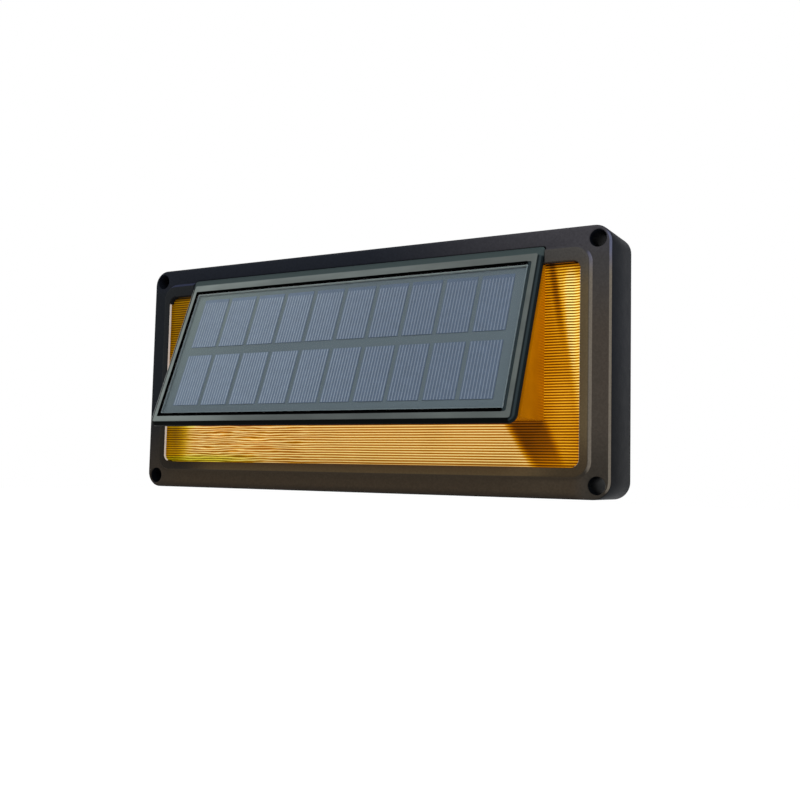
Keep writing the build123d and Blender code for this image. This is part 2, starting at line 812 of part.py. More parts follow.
# ---- Push button: fixed switch on the board, moving cap and plunger ----------------------
switch_rear = board_back - switch_height
with BuildPart() as switch_body:
    with BuildSketch(facing(switch_rear)):
        with Locations((button_x, button_z)):
            Rectangle(switch_size, switch_size)
    extrude(amount=switch_height)
    with BuildSketch(facing(switch_rear)):
        with Locations((button_x, button_z)):
            Circle(plunger_radius + button_side_gap)
    extrude(amount=switch_bore_depth, mode=Mode.SUBTRACT)
finish(switch_body.part, "switch_body")

collar_rear = cover_thickness + button_collar_gap
cap_front = collar_rear + button_collar_height
with BuildPart() as button_cap:
    with BuildSketch(facing(button_recess)):
        with Locations((button_x, button_z)):
            Circle(button_radius)
    extrude(amount=cap_front - button_recess)
    chamfer(button_cap.faces().sort_by(Axis.Y)[-1].edges(), button_edge)
    with BuildSketch(facing(collar_rear)):
        with Locations((button_x, button_z)):
            Circle(button_collar_radius)
    extrude(amount=button_collar_height)
    with BuildSketch(facing(button_recess + button_wall)):
        with Locations((button_x, button_z)):
            Circle(button_radius - button_wall)
    extrude(amount=cap_front - button_recess, mode=Mode.SUBTRACT)
finish(button_cap.part, "button_cap")

with BuildPart() as button_plunger:
    with BuildSketch(facing(button_recess + button_wall)):
        with Locations((button_x, button_z)):
            Circle(plunger_radius)
    extrude(amount=switch_rear + plunger_engagement - button_recess - button_wall)
finish(button_plunger.part, "button_plunger")

# ---- Leads ------------------------------------------------------------------------------
lead_sides = (-lead_pitch / 2, lead_pitch / 2)
with BuildPart() as panel_leads:
    for side in lead_sides:
        board_x = button_x - board_width / 2 + panel_lead_inset
        board_z = button_z + board_height / 4 + side
        lead_points = [
            (lead_hole_x, *on_panel(lead_hole_v + side, backing_back)),
            (lead_hole_x, *on_panel(lead_hole_v + side, hollow_offset + lead_slack)),
            (board_x, -board_front - lead_rise, board_z),
            (board_x, -board_front, board_z),
        ]
        add(lead(lead_points, lead_radius))
finish(panel_leads.part, "panel_leads")

with BuildPart() as lamp_leads:
    for side in lead_sides:
        board_x = button_x + board_width / 4 + side
        board_z = button_z - board_height / 2 + board_post_inset
        lead_points = [
            (button_x + side, -reflector_depth - reflector_wall, reflector_mid_z),
            (button_x + side, -cover_thickness - lead_rear_gap, reflector_mid_z),
            (board_x, -cover_thickness - lead_rear_gap, board_z),
            (board_x, -board_back, board_z),
        ]
        add(lead(lead_points, lead_radius))
finish(lamp_leads.part, "lamp_leads")

# The battery leads leave the solder tabs, dip below the holder and run to the board.
tab_depth = holder_top + contact_tab
lead_depth = tab_depth + lead_rise / 2
board_lead_x = button_x - board_width / 2 + board_post_inset + lead_pitch
below_holder = battery_z - holder_width / 2 - lead_pitch
tab_x = holder_inner / 2 - contact_thickness / 2
with BuildPart() as battery_leads:
    for side, drop in ((1, 0), (-1, lead_drop)):
        lead_x = battery_x + side * tab_x
        lead_points = [
            (lead_x, -tab_depth, battery_z),
            (lead_x, -lead_depth, battery_z),
            (lead_x, -lead_depth, below_holder - drop),
            (board_lead_x, -lead_depth, below_holder - drop),
            (board_lead_x, -board_front, below_holder - drop),
        ]
        add(lead(lead_points, lead_radius))
finish(battery_leads.part, "battery_leads")
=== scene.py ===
# %% [markdown]
# # A solar fence light
# This lesson dresses a wall light in Blender: a wide charcoal housing with a ribbed amber lens in its
# window, and a solar panel that leans out over the lens. The imported model gives every piece its place.
# Pieces that already have the right shape get a finish, and pieces that need rounder edges or finer
# detail are built again where they stand. The tones were matched to one picture of the light.

import math

import bmesh
import bpy
from mathutils import Matrix, Vector


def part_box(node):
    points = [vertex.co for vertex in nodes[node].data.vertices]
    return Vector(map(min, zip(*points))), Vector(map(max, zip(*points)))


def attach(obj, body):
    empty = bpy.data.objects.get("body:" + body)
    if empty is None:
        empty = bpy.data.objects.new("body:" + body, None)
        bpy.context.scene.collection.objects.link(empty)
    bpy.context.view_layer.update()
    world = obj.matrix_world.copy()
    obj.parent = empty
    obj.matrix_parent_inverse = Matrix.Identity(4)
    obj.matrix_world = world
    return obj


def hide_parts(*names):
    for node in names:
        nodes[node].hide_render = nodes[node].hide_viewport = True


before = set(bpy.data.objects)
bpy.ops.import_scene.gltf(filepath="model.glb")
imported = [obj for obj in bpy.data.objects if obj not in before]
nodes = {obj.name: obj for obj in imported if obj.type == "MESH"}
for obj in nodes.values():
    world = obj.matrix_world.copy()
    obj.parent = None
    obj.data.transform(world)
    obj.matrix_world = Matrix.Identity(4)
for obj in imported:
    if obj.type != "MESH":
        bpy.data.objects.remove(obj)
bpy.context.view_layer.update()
mm = 0.001
print("pieces in the model:", len(nodes))

# %% [markdown]
# ## Camera
# The picture was taken from the right of the light and a little below its middle, with the camera
# tipped up and very slightly rolled. A camera can be aimed with constraints, but three angles and a
# place say the same thing with nothing left to solve, and they can be read and changed one by one.

# %% Camera
camera_place = Vector((0.19666, -0.32908, -0.03841))
camera_turn = math.radians(29.72)
camera_rise = math.radians(4.36)
camera_roll = math.radians(1.27)

ahead = Vector((-math.sin(camera_turn) * math.cos(camera_rise),
                math.cos(camera_turn) * math.cos(camera_rise), math.sin(camera_rise)))
level_right = Vector((math.cos(camera_turn), math.sin(camera_turn), 0))
level_up = level_right.cross(ahead)
right = math.cos(camera_roll) * level_right + math.sin(camera_roll) * level_up
up = math.cos(camera_roll) * level_up - math.sin(camera_roll) * level_right

camera = bpy.data.objects.new("camera", bpy.data.cameras.new("camera"))
bpy.context.scene.collection.objects.link(camera)
camera_axes = Matrix((right, up, -ahead)).transposed().to_4x4()
camera.matrix_world = Matrix.Translation(camera_place) @ camera_axes
camera.data.lens = 44.47
camera.data.sensor_width = 36.0
camera.data.clip_start = 0.01
bpy.context.scene.camera = camera
bpy.context.scene.view_settings.view_transform = "Standard"
print("camera looks along", [round(v, 3) for v in ahead])

# %% [markdown]
# ## Helpers for finishes
# A finish is a tree of shader nodes. Each one here starts from object coordinates, so its grain is as
# large on the piece as it is on the real one. A few small functions keep the trees short: one makes a
# finish, one adds a node, and two more give the mottling and the fine relief that moulded plastic has.


# %% Helpers for finishes
def tone(written, shade=1.0):
    """A colour written as on a screen, turned into the linear values that shaders use."""
    parts = [int(written[i:i + 2], 16) / 255 for i in (1, 3, 5)]
    linear = [p / 12.92 if p <= 0.04045 else ((p + 0.055) / 1.055) ** 2.4 for p in parts]
    return [shade * p for p in linear] + [1.0]


def new_finish(name, **values):
    """A material whose shader has these values; a space in a socket's name is written as _."""
    material = bpy.data.materials.new(name)
    material.use_nodes = True
    shader = material.node_tree.nodes["Principled BSDF"]
    for socket, value in values.items():
        shader.inputs[socket.replace("_", " ")].default_value = value
    return material


def add(material, kind, settings=None, **values):
    """A node in the material's tree, with plain values for some of its sockets."""
    node = material.node_tree.nodes.new("ShaderNode" + kind)
    for key, value in (settings or {}).items():
        setattr(node, key, value)
    for socket, value in values.items():
        node.inputs[socket.replace("_", " ")].default_value = value
    return node


def join(material, source, target):
    material.node_tree.links.new(source, target)


def calc(material, operation, *parts):
    """One sum on sockets and plain numbers."""
    node = add(material, "Math", {"operation": operation})
    for socket, part in zip(node.inputs, parts):
        if isinstance(part, (int, float)):
            socket.default_value = part
        else:
            join(material, part, socket)
    return node.outputs["Value"]


def fade(material, source, start, end):
    """0 on the start's side and 1 past the end, with a soft turn between them."""
    node = add(material, "MapRange", {"interpolation_type": "SMOOTHSTEP"})
    node.inputs["From Min"].default_value = start
    node.inputs["From Max"].default_value = end
    join(material, source, node.inputs["Value"])
    return node.outputs["Result"]


def millimetres(material):
    """Object coordinates as x, y and z sockets in millimetres."""
    scaled = add(material, "VectorMath", {"operation": "SCALE"})
    scaled.inputs["Scale"].default_value = 1 / mm
    join(material, object_place(material), scaled.inputs[0])
    parts = add(material, "SeparateXYZ")
    join(material, scaled.outputs["Vector"], parts.inputs["Vector"])
    return parts.outputs["X"], parts.outputs["Y"], parts.outputs["Z"]


def shader_of(material):
    return material.node_tree.nodes["Principled BSDF"]


def object_place(material):
    return add(material, "TexCoord").outputs["Object"]


def ramp(material, source, stops):
    """A colour ramp from a list of (position, colour)."""
    node = add(material, "ValToRGB")
    elements = node.color_ramp.elements
    while len(elements) < len(stops):
        elements.new(0.5)
    for element, (position, colour) in zip(elements, stops):
        element.position = position
        element.color = colour
    join(material, source, node.inputs["Fac"])
    return node.outputs["Color"]


def between(material, share, low, high):
    """One colour on the way to another; each is a socket or a written tone."""
    node = add(material, "Mix", {"data_type": "RGBA"})
    join(material, share, node.inputs["Factor"])
    for socket, colour in ((node.inputs["A"], low), (node.inputs["B"], high)):
        if isinstance(colour, str):
            socket.default_value = tone(colour)
        else:
            join(material, colour, socket)
    return node.outputs["Result"]


def multiplied(material, base, shades):
    """One colour made darker or lighter by another."""
    node = add(material, "Mix", {"data_type": "RGBA", "blend_type": "MULTIPLY"})
    node.inputs["Factor"].default_value = 1.0
    join(material, base, node.inputs["A"])
    join(material, shades, node.inputs["B"])
    return node.outputs["Result"]


def product(material, *parts):
    """The product of several fades."""
    total = parts[0]
    for part in parts[1:]:
        total = calc(material, "MULTIPLY", total, part)
    return total


def weighted(material, total, places):
    """A starting value plus the weight of each place, given as (place, weight) pairs."""
    for place, weight in places:
        total = calc(material, "MULTIPLY_ADD", place, weight, total)
    return total


def toned(material, colour, places):
    """A colour that turns into another tone at each place, given as (place, tone) pairs."""
    for place, written in places:
        colour = between(material, place, colour, written)
    return colour


def grey_pair(low, high):
    """Two greys, for shades that only darken or lighten."""
    return (low, low, low, 1), (high, high, high, 1)


def mottle(material, size, low, high, detail=3.0, stretch=(1, 1, 1)):
    """Soft patches of two tones, size metres across."""
    mapping = add(material, "Mapping")
    mapping.inputs["Scale"].default_value = stretch
    join(material, object_place(material), mapping.inputs["Vector"])
    noise = add(material, "TexNoise", Scale=1 / size, Detail=detail)
    join(material, mapping.outputs["Vector"], noise.inputs["Vector"])
    return ramp(material, noise.outputs["Fac"], [(0.35, low), (0.65, high)])


def relief(material, size, depth, detail=2.0, strength=1.0):
    """Fine bumps, size metres across and depth metres high."""
    noise = add(material, "TexNoise", Scale=1 / size, Detail=detail)
    join(material, object_place(material), noise.inputs["Vector"])
    bump = add(material, "Bump", Strength=strength, Distance=depth)
    join(material, noise.outputs["Fac"], bump.inputs["Height"])
    join(material, bump.outputs["Normal"], shader_of(material).inputs["Normal"])


def uneven_gloss(material, size, smooth, rough):
    """Roughness that drifts between two values, as handled plastic does."""
    noise = add(material, "TexNoise", Scale=1 / size, Detail=4.0)
    join(material, object_place(material), noise.inputs["Vector"])
    span = add(material, "MapRange")
    span.inputs["To Min"].default_value = smooth
    span.inputs["To Max"].default_value = rough
    join(material, noise.outputs["Fac"], span.inputs["Value"])
    join(material, span.outputs["Result"], shader_of(material).inputs["Roughness"])


def moulded(name, colour, smooth=0.42, rough=0.55, grain=0.6 * mm, depth=0.02 * mm, spread=0.12,
            patch=9 * mm, **values):
    """Moulded plastic or rubber: two close tones, a fine grain and an uneven gloss."""
    material = new_finish(name, **values)
    patches = mottle(material, patch, tone(colour, 1 - spread), tone(colour, 1 + spread))
    join(material, patches, shader_of(material).inputs["Base Color"])
    relief(material, grain, depth)
    uneven_gloss(material, patch / 2, smooth, rough)
    return material


print("helpers ready")

# %% [markdown]
# ## The sloping panel
# Everything on the panel is easiest to build lying flat. One matrix then carries it onto the slope.

# %% Panel slope
panel_tilt = math.radians(21.3)
slope = Vector((0, math.sin(panel_tilt), math.cos(panel_tilt)))
outward = Vector((0, -math.cos(panel_tilt), math.sin(panel_tilt)))
panel_middle = Vector((0, -35.505 * mm, 8.148 * mm))
onto_panel = Matrix.Translation(panel_middle) @ Matrix(
    (Vector((1, 0, 0)), slope, outward)).transposed().to_4x4()

# %% [markdown]
# ## Finishes for the plastics
# The housing and the back plate are one charcoal plastic with a fine spark-eroded grain. The frame of
# the panel is a smoother, greyer plastic. The hidden pieces are finished too, because the light is
# also seen from behind and in pieces.

# %% Plastic finishes
finishes = {
    "cover": moulded("cover_plastic", "#2b2c2f", 0.45, 0.6, grain=0.7 * mm, depth=0.05 * mm,
                     patch=1.2 * mm, Specular_IOR_Level=0.06),
    "tray_plastic": moulded("tray_plastic", "#1c1d1d", 0.4, 0.55),
    "foam": moulded("panel_foam", "#3b3b3a", 0.85, 0.95, grain=0.5 * mm, depth=0.1 * mm),
    "white_plastic": moulded("reflector_plastic", "#e8e6e0", 0.3, 0.4, spread=0.03),
    "strip": moulded("strip_board", "#ece9dc", 0.4, 0.5, spread=0.05),
    "chip": moulded("light_chip", "#e6c650", 0.3, 0.4, spread=0.08, patch=2 * mm),
    "battery_wrap": moulded("battery_wrap", "#2d7a4e", 0.25, 0.35, spread=0.08),
    "black_plastic": moulded("black_plastic", "#191919", 0.35, 0.5),
    "switch_plastic": moulded("switch_plastic", "#232323", 0.4, 0.5),
    "button_rubber": moulded("button_rubber", "#202022", 0.55, 0.7, grain=0.4 * mm, depth=0.01 * mm),
    "black_wire": moulded("black_wire_sleeve", "#151515", 0.35, 0.45),
    "red_wire": moulded("red_wire_sleeve", "#9a1712", 0.35, 0.45),
    "white_wire": moulded("white_wire_sleeve", "#d8d5cc", 0.35, 0.45),
}
print("plastic finishes:", len(finishes))

# %% [markdown]
# ## Housing finish
# Light is painted into the charcoal: it is cool at the top left and warmer towards the lower right,
# where the lit lens spills its amber glow. Lamps could give that, but they would tint the panel too, so
# fades in object coordinates mix the painted tones by place. They suit the pictured side and stay put
# when the light is turned. A fine mottling and a fine bump give the grain of a moulding, where one even
# colour would read as paint.

# %% Housing finish
front_face = -22.0
rim_face = -23.7
outer_edge = 99.0
housing = new_finish("housing_plastic", Specular_IOR_Level=0.015)
x, y, z = millimetres(housing)
# Painted light: cool at the top left, and warm where the lit lens spills its glow, towards the bottom and
# at the right end.
to_right = fade(housing, x, -60, 95)
to_bottom = product(housing, fade(housing, z, -10, -42), fade(housing, x, -120, -78))
far_right = fade(housing, x, 86, 93)
top_border = between(housing, fade(housing, x, 0, 100), "#23262d", "#474549")
border = toned(housing, between(housing, to_right, "#222529", "#444242"), (
    (to_bottom, "#473d31"),
    (fade(housing, z, 33, 40), top_border),
    (product(housing, to_bottom, fade(housing, z, -42.2, -45.0)), "#322c26"),
    (product(housing, far_right, fade(housing, z, 36, 8)), "#4b443d"),
    (product(housing, far_right, fade(housing, z, -18, -38)), "#3c3731")))

# %% Raised rim, sides and painted edge highlights of the housing
# The raised rim is painted the same way: cool at the top, and warm with the lens's spilled glow lower down
# and at the right.
top_rim = between(housing, to_right, "#282a2c", "#4d4a47")
raised = toned(housing, between(housing, to_right, "#282a2c", "#62543d"), (
    (fade(housing, z, 22, 36), top_rim),
    (product(housing, fade(housing, z, -24, -40), fade(housing, x, -92, -60)), "#64533a"),
    (product(housing, fade(housing, z, -20, -36), fade(housing, x, 66, 84)), "#463b2c"),
    (product(housing, fade(housing, z, -4, -30), fade(housing, x, -60, -86)), "#322d27")))
on_rim = fade(housing, y, front_face - 1.0, rim_face + 0.1)
from_middle = calc(housing, "ABSOLUTE", x)
on_front = product(housing, fade(housing, y, front_face + 0.9, front_face + 0.3),
                   fade(housing, from_middle, outer_edge - 0.1, outer_edge - 0.7))
# Painted shade: off the front face, the sides, top and bottom are painted darker, darkest towards the
# bottom.
shaded_sides = between(housing, fade(housing, z, 15, -35), "#14171e", "#0d0f13")
charcoal = between(housing, on_front, shaded_sides, between(housing, on_rim, border, raised))

# Painted highlights: on the right half, the slopes and front edge that face right and forward are painted
# pale, warm lower down and bluish near the top, and the upward slope along the top of the rim is painted
# bluish.
facing = add(housing, "SeparateXYZ")
join(housing, add(housing, "NewGeometry").outputs["Normal"], facing.inputs["Vector"])
aslant = calc(housing, "ABSOLUTE", calc(housing, "MULTIPLY", facing.outputs["X"], facing.outputs["Y"]))
upward = calc(housing, "MULTIPLY", facing.outputs["Z"],
              calc(housing, "MULTIPLY", facing.outputs["Y"], -1.0))
lit_side_slope = product(housing, fade(housing, aslant, 0.34, 0.47), fade(housing, x, -20, 60),
                     fade(housing, y, rim_face + 0.35, front_face - 0.85))
lit_top_slope = product(housing, fade(housing, upward, 0.3, 0.47), fade(housing, z, 40.5, 39.5),
                    fade(housing, x, 75, 20))
painted_edge_highlight = between(housing, fade(housing, z, 27, 38), "#7d7468", "#676a80")
charcoal = toned(housing, charcoal, ((lit_side_slope, painted_edge_highlight), (lit_top_slope, "#34384c")))

pit_size = 0.7 * mm
pits = add(housing, "TexNoise", Scale=1 / pit_size, Detail=3.0)
join(housing, object_place(housing), pits.inputs["Vector"])
pit_shades = ramp(housing, pits.outputs["Fac"], list(zip((0.36, 0.64), grey_pair(0.92, 1.08))))
join(housing, multiplied(housing, charcoal, pit_shades), shader_of(housing).inputs["Base Color"])
relief(housing, pit_size, 0.03 * mm)
uneven_gloss(housing, 5 * mm, 0.42, 0.55)
finishes["housing"] = housing
print("housing finish ready")

# %% [markdown]
# ## Frame of the panel
# The frame is one dark teal moulding, with light and shade painted into it: its flat face is painted a
# paler grey-green as lit, palest at the left, and its slanted sides near-black as shaded, with painted
# highlight lines. How far a point lies behind the panel's face tells the two apart: a dot product with
# the panel's outward direction gives that distance, and a short fade changes the tone just at the edge.
# The seal in the gap round the glass uses the same measure: it is nearly black, and its right end is
# painted grey, a painted highlight where its far side catches the light.

# %% Places on the panel
def panel_places(material):
    """Across the panel, up its slope and out of its face, in millimetres."""
    centred = add(material, "VectorMath", {"operation": "SUBTRACT"})
    join(material, object_place(material), centred.inputs[0])
    centred.inputs[1].default_value = panel_middle
    places = []
    for direction in (Vector((1, 0, 0)), slope, outward):
        along = add(material, "VectorMath", {"operation": "DOT_PRODUCT"})
        join(material, centred.outputs["Vector"], along.inputs[0])
        along.inputs[1].default_value = direction / mm
        places.append(along.outputs["Value"])
    return places


# %% Seal finish
seal = new_finish("seal_rubber", Roughness=0.85, Specular_IOR_Level=0.0)
u, v, out = panel_places(seal)
# Nearly black rubber; its right end is painted grey, a painted highlight where its far side catches the
# light.
join(seal, between(seal, fade(seal, u, 71.1, 71.8), "#020202", "#30393b"),
     shader_of(seal).inputs["Base Color"])
relief(seal, 0.5 * mm, 0.02 * mm)
finishes["seal"] = seal

# %% Flat face of the frame
face_top = 30.25
half_opening = (72.7, 27.65)
bezel = new_finish("panel_plastic", Specular_IOR_Level=0.02)
u, v, out = panel_places(bezel)
# Painted shadow: a narrow band of the face next to the gap keeps the near-black of the sides, which widens
# the dark gap, except at the right end.
beside_gap = calc(bezel, "MAXIMUM",
                  calc(bezel, "SUBTRACT", calc(bezel, "ABSOLUTE", u), half_opening[0]),
                  calc(bezel, "SUBTRACT", calc(bezel, "ABSOLUTE", v), half_opening[1]))
clear_of_gap_shadow = fade(bezel, calc(bezel, "ADD", beside_gap, fade(bezel, u, 71, 72)), 0.08, 0.2)
on_face = product(bezel, fade(bezel, out, -0.22, -0.03), clear_of_gap_shadow)
# Painted light on the flat face: palest at the left, darker towards the right, along the middle of its foot
# and at the top right.
on_foot = product(bezel, fade(bezel, v, -26, -28), fade(bezel, u, -60, -5), fade(bezel, u, 60, 30))
painted_lit_face = toned(bezel, between(bezel, fade(bezel, u, -76, -15), "#878f8b", "#757c79"), (
    (on_foot, "#5b605e"),
    (fade(bezel, u, 30, 66), "#636966"),
    (product(bezel, fade(bezel, u, 0, 60), fade(bezel, v, 26.5, 28)), "#656a67")))
painted_lit_face = multiplied(bezel, painted_lit_face, mottle(bezel, 6 * mm, *grey_pair(0.88, 1.1), stretch=(0.3, 1, 1)))

# %% Slanted sides of the frame
# Painted light and shade on the slanted sides: near-black as shaded, a lit dark teal on the right side with
# a painted highlight line along it, lighter along the top as lit from above, and a painted highlight line
# down the left edge.
side_line = calc(bezel, "ABSOLUTE", calc(bezel, "ADD", out, 0.65))
lit_right_side = between(bezel, fade(bezel, side_line, 0.3, 0.1), "#141b1d", "#2f393c")
left_edge_highlight = product(bezel, fade(bezel, out, -0.82, -0.95), fade(bezel, out, -1.6, -1.4),
                   fade(bezel, v, -29.0, -27.5), fade(bezel, u, -73.0, -74.5), fade(bezel, v, 30.5, 29.0))
lit_and_shaded_sides = toned(bezel, between(bezel, fade(bezel, u, 73.5, 74.4), "#040606", lit_right_side), (
    (fade(bezel, v, face_top - 0.6, face_top + 0.2), "#414c4c"), (left_edge_highlight, "#a3aaa6")))
join(bezel, between(bezel, on_face, lit_and_shaded_sides, painted_lit_face), shader_of(bezel).inputs["Base Color"])
relief(bezel, 0.35 * mm, 0.004 * mm)
uneven_gloss(bezel, 5 * mm, 0.36, 0.48)
finishes["panel_plastic"] = bezel
print("frame finish ready")

# %% [markdown]
# ## Metal, board and cells
# Bright metal is a metallic shader with drawn streaks in its gloss. The board is green lacquer with
# paler copper showing through in narrow bands. The cells are dark blue-grey silicon.

# %% Metal, board and cell finishes
steel = new_finish("screw_steel", Metallic=1.0)
join(steel, mottle(steel, 3 * mm, tone("#8f9296"), tone("#b9bcc0")), shader_of(steel).inputs["Base Color"])
relief(steel, 0.5 * mm, 0.004 * mm)
uneven_gloss(steel, 2 * mm, 0.22, 0.38)
finishes["steel"] = steel

board = new_finish("board_lacquer")
tracks = add(board, "TexBrick", Scale=1 / (9 * mm))
join(board, object_place(board), tracks.inputs["Vector"])
tracks.inputs["Color1"].default_value = tone("#14532b")
tracks.inputs["Color2"].default_value = tone("#196336")
tracks.inputs["Mortar"].default_value = tone("#3f8a4f")
join(board, tracks.outputs["Color"], shader_of(board).inputs["Base Color"])
uneven_gloss(board, 4 * mm, 0.25, 0.4)
finishes["board"] = board

cell = new_finish("cell_silicon", Specular_IOR_Level=0.1)
u, v, out = panel_places(cell)
# Painted light: the silicon is painted lighter towards the left.
silicon = between(cell, fade(cell, u, -72, 40), "#7d8ba0", "#67748a")
streaks = mottle(cell, 2.5 * mm, (0.94, 0.94, 0.94, 1), (1.05, 1.05, 1.06, 1), detail=5.0)
join(cell, multiplied(cell, silicon, streaks), shader_of(cell).inputs["Base Color"])
uneven_gloss(cell, 3 * mm, 0.3, 0.45)
finishes["cell"] = cell

backing = new_finish("cell_backing_sheet", Roughness=0.4, Specular_IOR_Level=0.1)
u, v, out = panel_places(backing)
# Painted light: the sheet is painted lighter towards the upper left.
up_and_left = calc(backing, "MULTIPLY_ADD", v, 1.2, calc(backing, "MULTIPLY", u, -1.0))
sheet = between(backing, fade(backing, up_and_left, 20, 100), "#6c777e", "#828d8c")
join(backing, sheet, shader_of(backing).inputs["Base Color"])
relief(backing, 1.5 * mm, 0.004 * mm)
finishes["backing"] = backing
print("finishes so far:", len(finishes))

# %% [markdown]
# ## Glass
# A thin clear sheet bends light so little that real refraction only adds noise. A clear shader mixed
# with a mirror by Fresnel shows the cells below and still catches the lamps. Only the outer side
# mirrors, because the inner side of so thin a sheet would mirror all that is seen at a slant.

# %% Glass finish
glass = bpy.data.materials.new("panel_glass")
glass.use_nodes = True
glass.node_tree.nodes.remove(shader_of(glass))
clear = add(glass, "BsdfTransparent", Color=(0.93, 0.95, 0.95, 1))
gloss = add(glass, "BsdfGlossy", Roughness=0.14)
edge = add(glass, "Fresnel", IOR=1.3)
pane = add(glass, "MixShader")
outside = calc(glass, "SUBTRACT", 1.0, add(glass, "NewGeometry").outputs["Backfacing"])
join(glass, calc(glass, "MULTIPLY", edge.outputs["Fac"], outside), pane.inputs["Fac"])
join(glass, clear.outputs["BSDF"], pane.inputs[1])
join(glass, gloss.outputs["BSDF"], pane.inputs[2])
join(glass, pane.outputs["Shader"], glass.node_tree.nodes["Material Output"].inputs["Surface"])
finishes["panel_glass"] = glass
print("glass ready")

# %% [markdown]
# ## Amber lens
# The lens is clear plastic that glows amber from the lamps behind it. Tracing their light through it
# would be truer, but slow and noisy, so the glow is set by place for the pictured side. It is
# strongest along the bottom of the window and beside its right edge, and weaker in the shadow of the
# wedge, in a thin streak beside it and at the left end. Each of these is a fade in object
# coordinates, in millimetres. Their sum runs through a ramp from brown to cream, which feeds both the
# colour and a weak emission.

# %% Places that the glow depends on
rib_pitch = 0.93 * mm
window_width = 177.4 * mm
window_height = 67.6 * mm
window_middle = -0.7 * mm
rib_foot = -21.05 * mm
rib_height = 0.35 * mm
rib_count = int(window_height / rib_pitch)
lowest_rib = window_middle - (rib_count - 1) * rib_pitch / 2
cross_pitch = 5.0
amber_steps = [(0.0, "#140900"), (0.2, "#4c2600"), (0.4, "#8a4e00"), (0.55, "#b26c00"),
               (0.7, "#d39206"), (0.84, "#f0bc38"), (1.0, "#fee69c")]


def toned_ramp(material, source, steps):
    """A colour ramp from a list of (position, written tone)."""
    return ramp(material, source, [(at, tone(step)) for at, step in steps])


def amber_shader(material, glow):
    """Colours and lights a material by one glow value."""
    colour = toned_ramp(material, glow, amber_steps)
    join(material, colour, shader_of(material).inputs["Base Color"])
    join(material, colour, shader_of(material).inputs["Emission Color"])


# %% Ribbed lens finish
lens = new_finish("lens_ribbed", Roughness=0.3, Specular_IOR_Level=0.05, Emission_Strength=0.4)
x, y, z = millimetres(lens)
shadow_start = calc(lens, "MULTIPLY_ADD", z, 0.66, x)
low_band = product(lens, fade(lens, z, -13, -21), fade(lens, shadow_start, 52.5, 47),
                   fade(lens, x, -86, -76))
beside_streak = calc(lens, "SUBTRACT", calc(lens, "MULTIPLY_ADD", z, 0.16, x), 83.6)
right_band = product(lens, fade(lens, beside_streak, 0.2, 4.6), fade(lens, z, -44, -4),
                     fade(lens, z, 34, 24))
left_end = product(lens, fade(lens, x, -74, -84), fade(lens, z, -34, -18))
lean = calc(lens, "MULTIPLY_ADD", z, 0.45, x)
wedge_shadow = product(lens, fade(lens, shadow_start, 47, 51.5), fade(lens, lean, 69.5, 66),
                       fade(lens, z, -17, -20), fade(lens, z, -38, -28))
streak = product(lens, fade(lens, calc(lens, "ABSOLUTE", beside_streak), 1.9, 0.1), fade(lens, z, 2, 24))
# Painted shade under the top wall of the window.
shade_under_top = fade(lens, z, 31.6, 33.0)
drift = add(lens, "TexNoise", Scale=1 / (18 * mm), Detail=2.0)
join(lens, object_place(lens), drift.inputs["Vector"])
wave_scale = add(lens, "Mapping")
wave_scale.inputs["Scale"].default_value = (0.12, 1, 1)
join(lens, object_place(lens), wave_scale.inputs["Vector"])
waves = add(lens, "TexNoise", Scale=1 / (2.0 * mm), Detail=2.0)
join(lens, wave_scale.outputs["Vector"], waves.inputs["Vector"])
waviness = calc(lens, "MULTIPLY_ADD", product(lens, fade(lens, x, 5, -45), low_band), 10.0, 1.0)
sway = calc(lens, "MULTIPLY", calc(lens, "SUBTRACT", waves.outputs["Fac"], 0.5), waviness)
# Painted light on the ribs: a bright line along each crest and painted shade in each trough, swayed a
# little by noise.
turn = calc(lens, "MULTIPLY", calc(lens, "SUBTRACT", z, lowest_rib / mm), 2 * math.pi / (rib_pitch / mm))
rib_light_and_shade = calc(lens, "COSINE", calc(lens, "ADD", turn, sway))
rib_light_strength = weighted(lens, 0.25, (
    (right_band, 0.22), (low_band, 0.09), (fade(lens, x, -70, -82), -0.09), (wedge_shadow, -0.12)))

# %% Sum of the glow
above_foot = product(lens, fade(lens, x, -74, -76), fade(lens, z, -21.4, -20.6),
                     fade(lens, z, -18.0, -19.0))
# A painted crosshatch of light in the glow beside the right edge.
crossing = calc(lens, "COSINE", calc(lens, "MULTIPLY_ADD", x, 2 * math.pi / cross_pitch, turn))
crossed = product(lens, right_band, fade(lens, z, -22, 2), crossing)
lit = weighted(lens, 0.46, (
    (low_band, 0.30), (right_band, 0.24), (fade(lens, x, 76, 82), 0.04), (left_end, -0.12),
    (wedge_shadow, -0.20), (streak, -0.22), (shade_under_top, -0.3),
    (calc(lens, "SUBTRACT", drift.outputs["Fac"], 0.5), 0.2),
    (rib_light_and_shade, rib_light_strength), (crossed, 0.2), (above_foot, 0.1)))

# %% Tones of the glow
amber = toned_ramp(lens, lit, amber_steps)
yellow = toned_ramp(lens, lit, [
    (0.0, "#141000"), (0.4, "#6e5c00"), (0.7, "#c0a800"), (1.0, "#f4ea50")])
golden = toned_ramp(lens, lit, [
    (0.0, "#140a00"), (0.2, "#4a2a00"), (0.5, "#a86600"), (0.7, "#e0a000"), (0.84, "#f9cc24"),
    (1.0, "#fff090")])
low_left = product(lens, fade(lens, x, -30, -66), fade(lens, z, -30.5, -33.6))
for weaker, share in ((above_foot, 0.7), (fade(lens, x, -74, -82), 0.45)):
    low_left = calc(lens, "MAXIMUM", low_left, calc(lens, "MULTIPLY", weaker, share))
glow_tone = between(lens, low_left, between(lens, right_band, amber, golden), yellow)
join(lens, glow_tone, shader_of(lens).inputs["Base Color"])
join(lens, glow_tone, shader_of(lens).inputs["Emission Color"])
finishes["lens"] = lens
